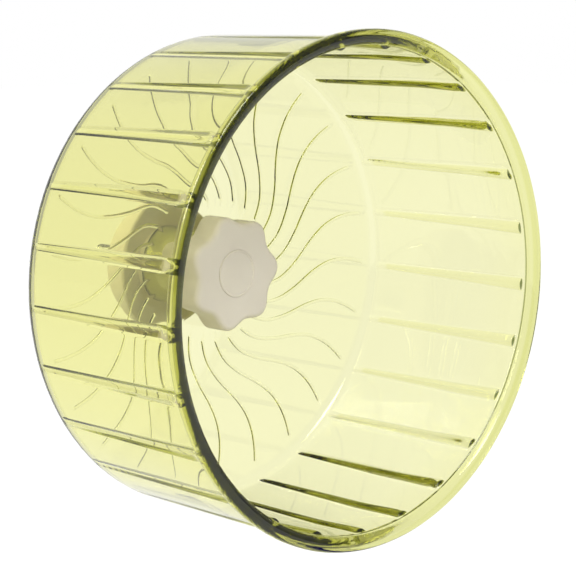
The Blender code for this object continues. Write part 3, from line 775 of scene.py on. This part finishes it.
def knob_stations():
    """The knob's section as (kind, radius or inset, z), from the cap's recess outwards."""
    recess = CAP_RADIUS + CAP_GAP
    stations = [("round", recess, CAP_FLOOR_Z)]
    for x, z in arc((recess + CAP_EDGE, KNOB_FACE_Z - CAP_EDGE), CAP_EDGE, 180, 90,
                    CAP_EDGE_STEPS):
        stations.append(("round", x, z))
    stations.append(("round", FACE_RING_RADIUS, KNOB_FACE_Z))
    for x, z in arc((0.0, 0.0), KNOB_EDGE, 90, 0, KNOB_EDGE_STEPS):
        stations.append(("lobed", KNOB_EDGE - x, KNOB_FACE_Z - KNOB_EDGE + z))
    stations.append(("lobed", 0.0, (KNOB_FACE_Z + KNOB_REAR_Z) / 2))
    for x, z in arc((0.0, 0.0), KNOB_REAR_EDGE, 0, -90, KNOB_REAR_STEPS):
        stations.append(("lobed", KNOB_REAR_EDGE - x, KNOB_REAR_Z + KNOB_REAR_EDGE + z))
    inside = [
        (SKIRT_INNER_RADIUS, KNOB_REAR_Z),
        (SKIRT_INNER_RADIUS, KNOB_FACE_Z - KNOB_FACE_THICKNESS),
        (BOSS_RADIUS, KNOB_FACE_Z - KNOB_FACE_THICKNESS),
        (BOSS_RADIUS, BOSS_REAR_Z),
        (BOLT_HOLE_RADIUS, BOSS_REAR_Z),
        (BOLT_HOLE_RADIUS, HEAD_SEAT_Z),
        (HEX_CORNER_RADIUS + SEAT_GAP, HEAD_SEAT_Z),
        (HEX_CORNER_RADIUS + SEAT_GAP, CAP_FLOOR_Z),
    ]
    stations += [("round", x, z) for x, z in inside]
    return stations


def knob_corner(station, column):
    kind, reach, z = station
    angle = LOBE_PHASE + math.tau / LOBE_COUNT * column / LOBE_COLUMNS
    if kind == "lobed":
        radius, angle = lobe_point(angle, reach)
        return radius, angle, z
    return reach, angle, z


def build_knob(finish):
    mesh = sector_mesh("knob_sector", knob_stations(), LOBE_COLUMNS, knob_corner)
    rough = repeated("knob_sector", mesh, LOBE_COUNT, finish)
    finished("knob", rough, "knob", ["knob_body"])
    bead = arc((0.0, 0.0), 1.0, 0, 180, CAP_BEAD_STEPS)
    middle = CAP_RADIUS - CAP_BEAD_WIDTH / 2
    cap = [(0.0, CAP_Z), (CAP_RADIUS, CAP_Z), (CAP_RADIUS, KNOB_FACE_Z - CAP_EDGE)]
    cap += [(middle + x * CAP_BEAD_WIDTH / 2, KNOB_FACE_Z + y * CAP_BEAD_HEIGHT) for x, y in bead]
    cap.append((0.0, KNOB_FACE_Z))
    rough = turned("cap", cap, finish, closed=False)
    finished("knob_cap_disc", rough, "knob", ["knob_cap"])


# Bolt, nut, bearing, base and plate

def hex_radius(column):
    """Radius of a six-sided outline at a column of one of its sides."""
    angle = math.tau / HEX_SIDES * (column / HEX_COLUMNS - 0.5)
    return HEX_FLATS / (2 * math.cos(angle))


def hex_corner(station, column):
    """A point of a round station, or of one on a six-sided outline moved out by reach."""
    kind, reach, z = station
    angle = math.tau / HEX_SIDES * column / HEX_COLUMNS
    if kind == "round":
        return reach, angle, z
    return hex_radius(column) + reach, angle, z


def thread_radius(turns):
    """A thread with a flat crest, straight flanks and a flat root, by height in turns."""
    share = abs((turns % 1.0) * 2 - 1)
    return BOLT_RADIUS - THREAD_DEPTH * min(max((share - THREAD_CREST) / THREAD_FLANK, 0.0), 1.0)


def build_bolt(finish):
    rows = round(THREAD_LENGTH / THREAD_PITCH) * THREAD_ROWS
    stations = [("axle", 0.0, BOLT_END_Z)]
    for i in range(rows + 1):
        stations.append(("thread", 0.0, BOLT_END_Z + THREAD_PITCH * i / THREAD_ROWS))
    shank_z = BOLT_END_Z + THREAD_LENGTH
    stations += [("shank", BOLT_RADIUS, shank_z + THREAD_PITCH / 2), ("shank", BOLT_RADIUS, HEAD_Z)]
    stations.append(("axle", 0.0, HEAD_Z))

    def bolt_corner(station, column):
        kind, reach, z = station
        angle = math.tau * column / THREAD_COLUMNS
        if kind != "thread":
            return reach, angle, z
        radius = thread_radius((z - BOLT_END_Z) / THREAD_PITCH - column / THREAD_COLUMNS)
        end = z - BOLT_END_Z
        return min(radius, BOLT_RADIUS - THREAD_DEPTH + end), angle, z

    mesh = sector_mesh("bolt_thread", stations, THREAD_COLUMNS, bolt_corner, closed=False)
    rough = repeated("bolt_thread", mesh, 1, finish)
    finished("threaded_bolt", rough, "knob", ["axle_bolt"])
    head = [
        ("round", 0.0, HEAD_Z),
        ("round", HEX_FLATS / 2 - HEAD_EDGE, HEAD_Z),
        ("hex", 0.0, HEAD_Z + HEAD_EDGE),
        ("hex", 0.0, HEAD_Z + HEAD_HEIGHT - HEAD_EDGE),
        ("round", HEX_FLATS / 2 - HEAD_EDGE, HEAD_Z + HEAD_HEIGHT),
        ("round", 0.0, HEAD_Z + HEAD_HEIGHT),
    ]
    mesh = sector_mesh("bolt_head", head, HEX_COLUMNS, hex_corner, closed=False)
    rough = repeated("bolt_head", mesh, HEX_SIDES, finish)
    finished("bolt_head", rough, "knob")


def build_nut(finish):
    low = NUT_Z - NUT_HEIGHT
    stations = [
        ("round", BOLT_HOLE_RADIUS, low + NUT_EDGE),
        ("round", BOLT_HOLE_RADIUS + NUT_EDGE, low),
        ("round", HEX_FLATS / 2 - NUT_EDGE / 2, low),
        ("hex", 0.0, low + NUT_EDGE),
        ("hex", 0.0, NUT_Z - NUT_EDGE),
        ("round", HEX_FLATS / 2 - NUT_EDGE / 2, NUT_Z),
        ("round", BOLT_HOLE_RADIUS + NUT_EDGE, NUT_Z),
        ("round", BOLT_HOLE_RADIUS, NUT_Z - NUT_EDGE),
    ]
    mesh = sector_mesh("nut_sector", stations, HEX_COLUMNS, hex_corner)
    rough = repeated("nut_sector", mesh, HEX_SIDES, finish)
    finished("hex_nut", rough, "clamp", ["lock_nut"])


def ring(inner, outer, low, high):
    return softened([(inner, high), (outer, high), (outer, low), (inner, low)], BEARING_EDGE)


def build_bearing(finish):
    flange_top = BUSH_FLANGE_Z + BUSH_FLANGE_THICKNESS
    bush = [
        (BUSH_BORE_RADIUS, flange_top),
        (BUSH_FLANGE_RADIUS, flange_top),
        (BUSH_FLANGE_RADIUS, BUSH_FLANGE_Z),
        (BUSH_RADIUS, BUSH_FLANGE_Z),
        (BUSH_RADIUS, HUB_END_Z),
        (BUSH_BORE_RADIUS, HUB_END_Z),
    ]
    sleeve = ring(
        BOLT_HOLE_RADIUS, SLEEVE_RADIUS, NECK_TOP + SEAT_GAP, FRONT_WASHER_Z - SEAT_GAP)
    front = ring(
        BOLT_HOLE_RADIUS, WASHER_RADIUS, FRONT_WASHER_Z, FRONT_WASHER_Z + WASHER_THICKNESS)
    rear = ring(
        BUSH_BORE_RADIUS, WASHER_RADIUS, REAR_WASHER_Z, REAR_WASHER_Z + WASHER_THICKNESS)
    for name, profile, body, node in (
            ("bush", softened(bush, BEARING_EDGE), "wheel", "hub_bush"),
            ("sleeve", sleeve, "mount", "axle_sleeve"),
            ("washer_front", front, "mount", "front_washer"),
            ("washer_rear", rear, "mount", "rear_washer")):
        finished(name, turned(name, profile, finish), body, [node])


def build_base(finish):
    core_outer = PUCK_WALL_RADIUS - PUCK_SKIN
    core_top = PUCK_DEPTH - PUCK_SKIN
    outside = [
        (BOLT_HOLE_RADIUS, NECK_TOP),
        (NECK_RADIUS, NECK_TOP),
        (NECK_RADIUS, PUCK_DEPTH),
    ]
    profile = softened(outside, NECK_EDGE, closed=False)
    profile += arc((PUCK_RADIUS - PUCK_EDGE, PUCK_DEPTH - PUCK_EDGE), PUCK_EDGE, 90, 0,
                   PUCK_EDGE_STEPS)
    inside = [
        (PUCK_WALL_RADIUS, 0.0),
        (core_outer, 0.0),
        (core_outer, core_top),
        (CORE_HUB_RADIUS, core_top),
        (CORE_HUB_RADIUS, 0.0),
        (BOLT_HOLE_RADIUS, 0.0),
    ]
    profile += softened(inside, CORE_EDGE, closed=False)
    finished("base", turned("base", profile, finish), "mount", ["mount_base"])
    rib = bmesh.new()
    low, high = CORE_RIB_RECESS, core_top + PUCK_SKIN / 2
    inner, outer = (BOLT_HOLE_RADIUS + CORE_HUB_RADIUS) / 2, core_outer + PUCK_SKIN / 2
    place = Matrix.Translation(((inner + outer) / 2, 0, (low + high) / 2))
    size = Matrix.Diagonal((outer - inner, CORE_RIB_THICKNESS, high - low, 1))
    bmesh.ops.create_cube(rib, size=1, matrix=place @ size)
    bmesh.ops.bevel(rib, geom=rib.edges[:], offset=CORE_RIB_EDGE, segments=2, affect="EDGES")
    mesh = bpy.data.meshes.new("core_rib")
    rib.to_mesh(mesh)
    rib.free()
    rough = repeated("core_rib", mesh, CORE_RIB_COUNT, finish)
    finished("base_ribs", rough, "mount")


def build_plate(finish):
    stations = [
        ("round", BOLT_HOLE_RADIUS, PLATE_Z),
        ("round", PLATE_RADIUS - PLATE_EDGE, PLATE_Z),
        ("round", PLATE_RADIUS, PLATE_Z - PLATE_EDGE),
        ("round", PLATE_RADIUS, PLATE_BOSS_Z + PLATE_EDGE),
        ("round", PLATE_RADIUS - PLATE_EDGE, PLATE_BOSS_Z),
        ("round", PLATE_BOSS_RADIUS + PLATE_EDGE, PLATE_BOSS_Z),
        ("round", PLATE_BOSS_RADIUS, PLATE_BOSS_Z - PLATE_EDGE),
        ("round", PLATE_BOSS_RADIUS, PLATE_REAR_Z + PLATE_EDGE),
        ("round", PLATE_BOSS_RADIUS - PLATE_EDGE, PLATE_REAR_Z),
        ("hex", SEAT_GAP, PLATE_REAR_Z),
        ("hex", SEAT_GAP, POCKET_Z),
        ("round", BOLT_HOLE_RADIUS + SEAT_GAP, POCKET_Z),
        ("round", BOLT_HOLE_RADIUS, POCKET_Z + SEAT_GAP),
    ]
    mesh = sector_mesh("plate_sector", stations, HEX_COLUMNS, hex_corner)
    rough = repeated("plate_sector", mesh, HEX_SIDES, finish)
    finished("plate", rough, "clamp", ["backing_plate"])


# Room, lamps and camera

FLOOR_Z = -0.35
FLOOR_SIZE = 12.0
ROOM_FILL = 1.08           # light that the room gives to dull surfaces
EDGE_SHADE = 0.50          # what light turned round inside clear plastic finds of the room
FRONT_SHADE = 0.35         # what mirrored light finds of the room in front of the drum
SIDE_SOFTNESS = 0.4        # how gradually the room dims towards that front
FLOOR_GLOW = 0.59          # what the floor adds where it is seen, not on what it lights
FLOOR_TONE = 0.40

LAMP_SIZE = 0.5
LAMP_AIM = Vector((0.0, -0.04, 0.0))        # the middle of the drum
LAMPS = (                                   # name, place and watts
    ("key_lamp", (-0.95, 0.25, 0.75), 6.0),
    ("front_lamp", (-0.30, -0.75, 1.05), 7.0),
)

CAMERA_AZIMUTH = math.radians(-43.60)
CAMERA_ELEVATION = math.radians(8.20)
CAMERA_OFFSET = (0.3211, -0.0206, 8.526)    # the mouth lies this far right, up and ahead, in radii
CAMERA_LENS = 140.3
CAMERA_SENSOR = 36.0
CAMERA_REACH = (0.05, 30.0)


def backdrop_tree():
    """How bright the room looks to a ray: 1 where it is seen, also through clear plastic,
    Mirrored where it is mirrored, Fill on dull surfaces, and Edge Shade for light that clear
    plastic turned round inside itself, as the unlit side of a studio gives."""
    tree = bpy.data.node_groups.new("room_brightness", "ShaderNodeTree")
    for label in ("Fill", "Edge Shade", "Mirrored"):
        tree.interface.new_socket(label, in_out="INPUT", socket_type="NodeSocketFloat")
    tree.interface.new_socket("Brightness", in_out="OUTPUT", socket_type="NodeSocketFloat")
    start = tree.nodes.new("NodeGroupInput")
    path = tree.nodes.new("ShaderNodeLightPath")
    mirrored = path.outputs["Is Glossy Ray"]
    through = path.outputs["Is Transmission Ray"]
    seen = calculated(tree, "ADD", path.outputs["Is Camera Ray"], mirrored, clamp=True)
    seen = calculated(tree, "ADD", seen, through, clamp=True)
    turned_round = calculated(tree, "GREATER_THAN", path.outputs["Glossy Depth"], 0.5)
    turned_round = calculated(tree, "MULTIPLY", turned_round, through)
    loss = calculated(tree, "SUBTRACT", 1.0, start.outputs["Edge Shade"])
    kept = calculated(tree, "SUBTRACT", 1.0, calculated(tree, "MULTIPLY", turned_round, loss))
    dimmed = calculated(tree, "SUBTRACT", 1.0, start.outputs["Mirrored"])
    kept = calculated(tree, "SUBTRACT", kept, calculated(tree, "MULTIPLY", mirrored, dimmed))
    bright = calculated(tree, "MULTIPLY", seen, kept)
    unseen = calculated(tree, "SUBTRACT", 1.0, seen)
    dull = calculated(tree, "MULTIPLY", unseen, start.outputs["Fill"])
    end = tree.nodes.new("NodeGroupOutput")
    tree.links.new(calculated(tree, "ADD", bright, dull), end.inputs["Brightness"])
    return tree


BACKDROP = backdrop_tree()


def room_brightness(tree, fill):
    """The group above, placed in a tree. Mirrored is 1 until something is linked to it."""
    group = tree.nodes.new("ShaderNodeGroup")
    group.node_tree = BACKDROP
    group.inputs["Fill"].default_value = fill
    group.inputs["Edge Shade"].default_value = EDGE_SHADE
    group.inputs["Mirrored"].default_value = 1.0
    return group


def build_world():
    """A white room, darker where it is mirrored from in front of the drum."""
    world = bpy.data.worlds.new("white_room")
    world.use_nodes = True
    bpy.context.scene.world = world
    tree = world.node_tree
    background = tree.nodes["Background"]
    background.inputs["Color"].default_value = (1.0, 1.0, 1.0, 1.0)
    room = room_brightness(tree, ROOM_FILL)
    direction = tree.nodes.new("ShaderNodeTexCoord")
    split = tree.nodes.new("ShaderNodeSeparateXYZ")
    tree.links.new(direction.outputs["Generated"], split.inputs["Vector"])
    side = tree.nodes.new("ShaderNodeMapRange")
    side.interpolation_type = "SMOOTHSTEP"
    side.inputs["From Min"].default_value = -SIDE_SOFTNESS
    side.inputs["From Max"].default_value = SIDE_SOFTNESS
    side.inputs["To Min"].default_value = FRONT_SHADE
    side.inputs["To Max"].default_value = 1.0
    tree.links.new(split.outputs["Y"], side.inputs["Value"])
    tree.links.new(side.outputs["Result"], room.inputs["Mirrored"])
    tree.links.new(room.outputs["Brightness"], background.inputs["Strength"])


def build_floor():
    """A dull floor that keeps the object's shadow and glows up to white where it is seen."""
    finish = bpy.data.materials.new("pale_floor")
    finish.use_nodes = True
    tree = finish.node_tree
    tree.nodes.remove(tree.nodes["Principled BSDF"])
    dull = tree.nodes.new("ShaderNodeBsdfDiffuse")
    dull.inputs["Color"].default_value = (FLOOR_TONE, FLOOR_TONE, FLOOR_TONE, 1.0)
    glow = tree.nodes.new("ShaderNodeEmission")
    room = room_brightness(tree, 0.0)
    strength = calculated(tree, "MULTIPLY", room.outputs["Brightness"], FLOOR_GLOW)
    tree.links.new(strength, glow.inputs["Strength"])
    both = tree.nodes.new("ShaderNodeAddShader")
    tree.links.new(dull.outputs["BSDF"], both.inputs[0])
    tree.links.new(glow.outputs["Emission"], both.inputs[1])
    tree.links.new(both.outputs["Shader"], tree.nodes["Material Output"].inputs["Surface"])
    mesh = bpy.data.meshes.new("floor")
    shape = bmesh.new()
    bmesh.ops.create_grid(shape, x_segments=1, y_segments=1, size=FLOOR_SIZE / 2)
    bmesh.ops.translate(shape, verts=shape.verts, vec=(0, 0, FLOOR_Z))
    shape.to_mesh(mesh)
    shape.free()
    mesh.materials.append(finish)
    add_object("floor", mesh)


def add_lamp(name, place, power):
    """A square soft lamp that points at the middle of the drum."""
    lamp = bpy.data.lights.new(name, "AREA")
    lamp.shape = "SQUARE"
    lamp.size = LAMP_SIZE
    lamp.energy = power
    holder = bpy.data.objects.new(name, lamp)
    bpy.context.scene.collection.objects.link(holder)
    holder.location = place
    aim = LAMP_AIM - Vector(place)
    holder.rotation_euler = aim.to_track_quat("-Z", "Y").to_euler()


def build_camera():
    """The photograph's view, as fitted to the drum's rims and rungs."""
    azimuth, elevation = CAMERA_AZIMUTH, CAMERA_ELEVATION
    right = Vector((math.cos(azimuth), math.sin(azimuth), 0.0))
    ahead = Vector((
        -math.sin(azimuth) * math.cos(elevation),
        math.cos(azimuth) * math.cos(elevation),
        -math.sin(elevation),
    ))
    up = right.cross(ahead)
    mouth = Vector((0.0, -MOUTH_Z, 0.0))
    offset = right * CAMERA_OFFSET[0] + up * CAMERA_OFFSET[1] + ahead * CAMERA_OFFSET[2]
    data = bpy.data.cameras.new("camera")
    data.sensor_width = CAMERA_SENSOR
    data.lens = CAMERA_LENS
    data.clip_start, data.clip_end = CAMERA_REACH
    camera = bpy.data.objects.new("camera", data)
    bpy.context.scene.collection.objects.link(camera)
    turn = Matrix((right, up, -ahead)).transposed().to_4x4()
    camera.matrix_world = Matrix.Translation(mouth - offset * FLANGE_RADIUS) @ turn
    bpy.context.scene.camera = camera


GREEN = clear_green_finish()
CREAM = cream_finish()
NYLON = nylon_finish()
STEEL = steel_finish()
build_drum(GREEN)
build_knob(CREAM)
build_bolt(STEEL)
build_nut(STEEL)
build_bearing(NYLON)
build_base(CREAM)
build_plate(CREAM)
build_world()
build_floor()
for lamp_values in LAMPS:
    add_lamp(*lamp_values)
build_camera()

scene = bpy.context.scene
scene.view_settings.view_transform = "Standard"
scene.cycles.max_bounces = 48
scene.cycles.transmission_bounces = 24
scene.cycles.glossy_bounces = 40
scene.cycles.transparent_max_bounces = 12
